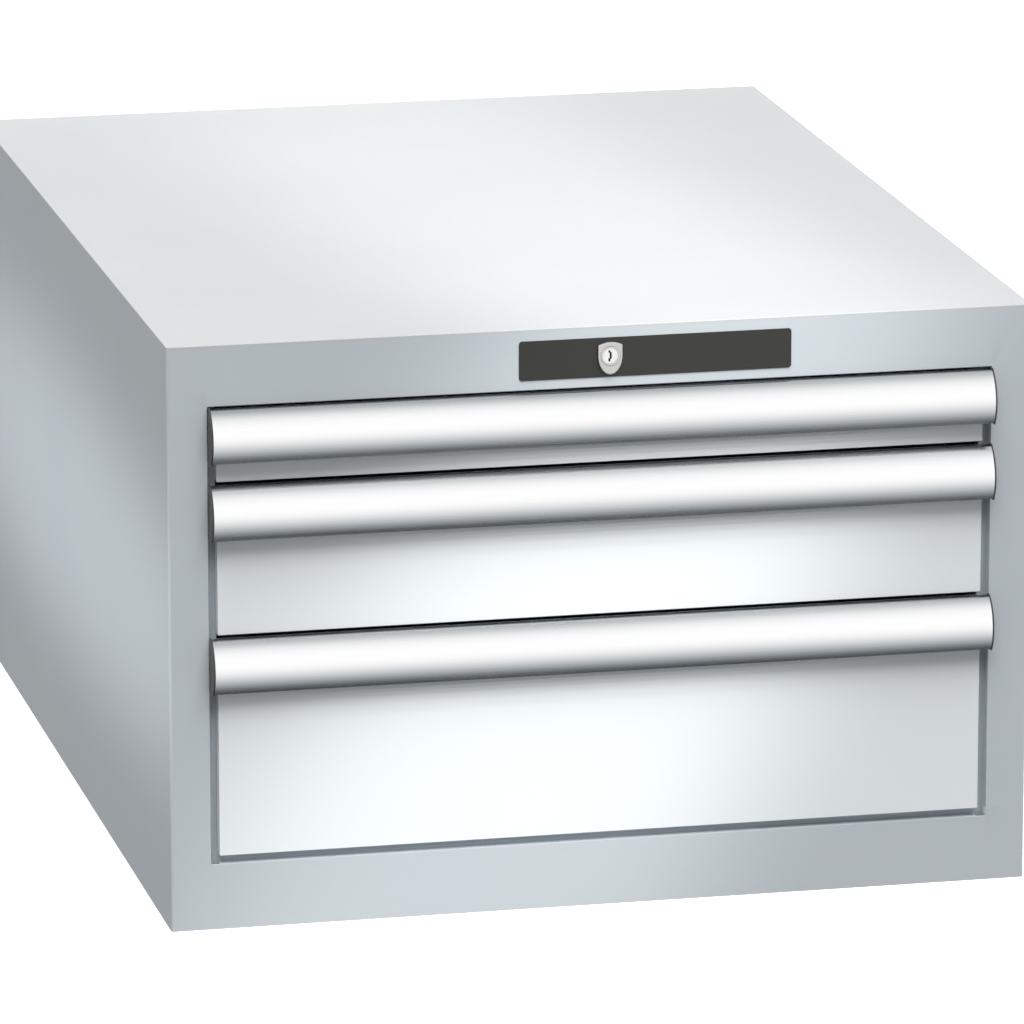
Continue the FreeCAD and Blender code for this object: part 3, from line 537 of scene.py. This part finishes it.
# Studio: a white floor, soft light from above and in front, with a brighter band through its
# middle, weaker lights around it, and a sky that mirrors see graded by height, so that the
# handles get the bright middle and dark edges of the photograph. Its sizes are in metres.
FLOOR_SIZE = 60.0
floor_mesh = bmesh.new()
bmesh.ops.create_grid(floor_mesh, x_segments=1, y_segments=1, size=FLOOR_SIZE / 2)
floor_data = bpy.data.meshes.new("floor")
floor_mesh.to_mesh(floor_data)
floor_mesh.free()
floor = bpy.data.objects.new("floor", floor_data)
bpy.context.scene.collection.objects.link(floor)
floor.visible_diffuse = False
floor.visible_glossy = False
paper, tree, output = new_material("white_paper")
matt = add(tree, "ShaderNodeBsdfPrincipled", {
    "Base Color": linear("#fafafa"),
    "Roughness": 1.0,
    "Specular IOR Level": 0.0,
    "Emission Color": linear("#ffffff"),
    "Emission Strength": 0.45,
})
tree.links.new(matt.outputs["BSDF"], output.inputs["Surface"])
floor.data.materials.append(paper)


def lamp(name, kind, power, aim, way, distance, across, settings):
    """Light that mirrors don't see, at a distance from its aim, with one axis across the beam."""
    data = bpy.data.lights.new(name, kind)
    data.energy = power
    for key, value in settings.items():
        setattr(data, key, value)
    made = bpy.data.objects.new(name, data)
    back = way.normalized()
    side = (across - back * across.dot(back)).normalized()
    made.location = aim + back * distance
    made.rotation_euler = Matrix((side, back.cross(side), back)).transposed().to_euler()
    made.visible_glossy = False
    bpy.context.scene.collection.objects.link(made)
    return made


RIGHT = Vector((1, 0, 0))
UP = Vector((0, 0, 1))
WARM = (1.0, 0.985, 0.965)
LAMP_DISTANCE = 3.0
OVERHEAD_POWER = 3.5
OVERHEAD_WAY = (0, -1, 2)
OVERHEAD_WIDTH = math.radians(50)
AROUND = [
    ("left_light", 0.6, (-3, 0.6, 0.7)),
    ("right_light", 0.7, (3, 0.6, 0.7)),
    ("rear_light", 1.2, (0.4, 3, 0.8)),
]
AROUND_WIDTH = math.radians(30)
FACE_HEIGHT = 0.19
front = front_y * MM
face = Vector((0, front, FACE_HEIGHT))
lamp(
    "overhead_light", "SUN", OVERHEAD_POWER, face, Vector(OVERHEAD_WAY), LAMP_DISTANCE, RIGHT,
    {"angle": OVERHEAD_WIDTH, "color": WARM})
for name, power, way in AROUND:
    lamp(name, "SUN", power, face, Vector(way), LAMP_DISTANCE, UP, {"angle": AROUND_WIDTH})

# The band is a sheet of light through three points: it climbs the front to the right and runs
# back over the top, as five narrow beams in one plane.
BAND_LAMPS = 5
BAND_POWER = 74
BAND_DISTANCE = 3.6
BAND_LOWEST = 28
BAND_STEP = 9
BAND_WIDTH = math.radians(6.2)
BAND_STRETCH = (1, 6.5, 1)
BAND_FOOT_X = -0.1
BAND_TOP_X = 0.08
BAND_BACK_X = -0.02
band_foot = Vector((BAND_FOOT_X, front, 0))
band_top = Vector((BAND_TOP_X, front, top_z * MM))
band_back = Vector((BAND_BACK_X, -front, top_z * MM))
rise = (band_top - band_foot).normalized()
forward = (band_top - band_back).normalized()
for number in range(BAND_LAMPS):
    height = math.radians(BAND_LOWEST + BAND_STEP * number)
    band = lamp(
        f"band_light_{number + 1}", "SPOT", BAND_POWER, (band_foot + band_top) / 2,
        forward * math.cos(height) + rise * math.sin(height), BAND_DISTANCE, rise.cross(forward),
        {"spot_size": BAND_WIDTH, "spot_blend": 1.0, "shadow_soft_size": 0.06, "color": WARM})
    band.scale = BAND_STRETCH

# A like band climbs the left side.
SIDE_BAND_POWER = 150
SIDE_BAND_WAY = (-1, -0.1, 0)
SIDE_BAND_WIDTH = math.radians(5)
SIDE_BAND_STRETCH = (1, 6, 1)
side_band = lamp(
    "side_band_light", "SPOT", SIDE_BAND_POWER, Vector((-side_x * MM, 0, FACE_HEIGHT)), Vector(SIDE_BAND_WAY),
    LAMP_DISTANCE, UP, {"spot_size": SIDE_BAND_WIDTH, "spot_blend": 1.0, "shadow_soft_size": 0.05})
side_band.scale = SIDE_BAND_STRETCH

# What mirrors see, by the sine of the height from straight below to straight above.
HEIGHT_STOPS = [
    (-1.0, "#202425"), (-0.97, "#2a2e30"), (-0.93, "#454b4e"), (-0.88, "#646a6e"), (-0.79, "#8c9296"),
    (-0.68, "#abb0b4"), (-0.5, "#cdd1d4"), (-0.36, "#e2e2e3"), (-0.22, "#f1f1f1"), (0.0, "#fdfdfd"),
    (0.1, "#ffffff"), (0.45, "#ffffff"), (0.66, "#fafafa"), (0.84, "#eaebec"), (0.92, "#cbcfd0"),
    (0.965, "#adb2b4"), (0.985, "#8f9598"), (1.0, "#4c5153"),
]
DIFFUSE_SKY = 0.3
world = bpy.data.worlds.new("studio")
world.use_nodes = True
tree = world.node_tree
tree.nodes.clear()
way = add(tree, "ShaderNodeSeparateXYZ", links={
    "Vector": add(tree, "ShaderNodeTexCoord").outputs["Generated"],
})
height = add(tree, "ShaderNodeMapRange", {"From Min": -1.0, "From Max": 1.0}, {"Value": way.outputs["Z"]})
graded = add(
    tree, "ShaderNodeValToRGB", {"stops": [((at + 1) / 2, colour) for at, colour in HEIGHT_STOPS]},
    {"Fac": height.outputs["Result"]})
behind = add(tree, "ShaderNodeMapRange", {
    "From Min": -0.1, "From Max": 0.6, "To Min": 1.06, "To Max": 0.45,
}, {"Value": way.outputs["Y"]})
mirrored = add(tree, "ShaderNodeBackground", links={
    "Color": graded.outputs["Color"],
    "Strength": behind.outputs["Result"],
})
even = add(tree, "ShaderNodeBackground", {"Color": linear("#ffffff"), "Strength": DIFFUSE_SKY})
backdrop = add(tree, "ShaderNodeBackground", {"Color": linear("#ffffff"), "Strength": 1.0})
ray = add(tree, "ShaderNodeLightPath")
lighting = add(tree, "ShaderNodeMixShader", links={
    0: ray.outputs["Is Glossy Ray"],
    1: even.outputs["Background"],
    2: mirrored.outputs["Background"],
})
seen = add(tree, "ShaderNodeMixShader", links={
    0: ray.outputs["Is Camera Ray"],
    1: lighting.outputs["Shader"],
    2: backdrop.outputs["Background"],
})
add(tree, "ShaderNodeOutputWorld", links={"Surface": seen.outputs["Shader"]})
bpy.context.scene.world = world
bpy.context.scene.view_settings.view_transform = "Standard"


# Camera: a long lens from above and to the left of the front. It is pitched down and has no
# shift, so the upright edges draw together a little, which the photograph's don't.
CAMERA_PLACE = (-1.2212, -5.533, 1.6081)
CAMERA_YAW = 12.663
CAMERA_PITCH = 14.229
CAMERA_LENS = 302.19
SENSOR_WIDTH = 36.0
FARTHEST = 200.0
camera = bpy.data.objects.new("camera", bpy.data.cameras.new("camera"))
camera.data.lens = CAMERA_LENS
camera.data.sensor_width = SENSOR_WIDTH
camera.data.clip_end = FARTHEST
camera.location = CAMERA_PLACE
camera.rotation_euler = (math.radians(90 - CAMERA_PITCH), 0, math.radians(-CAMERA_YAW))
bpy.context.scene.collection.objects.link(camera)
bpy.context.scene.camera = camera
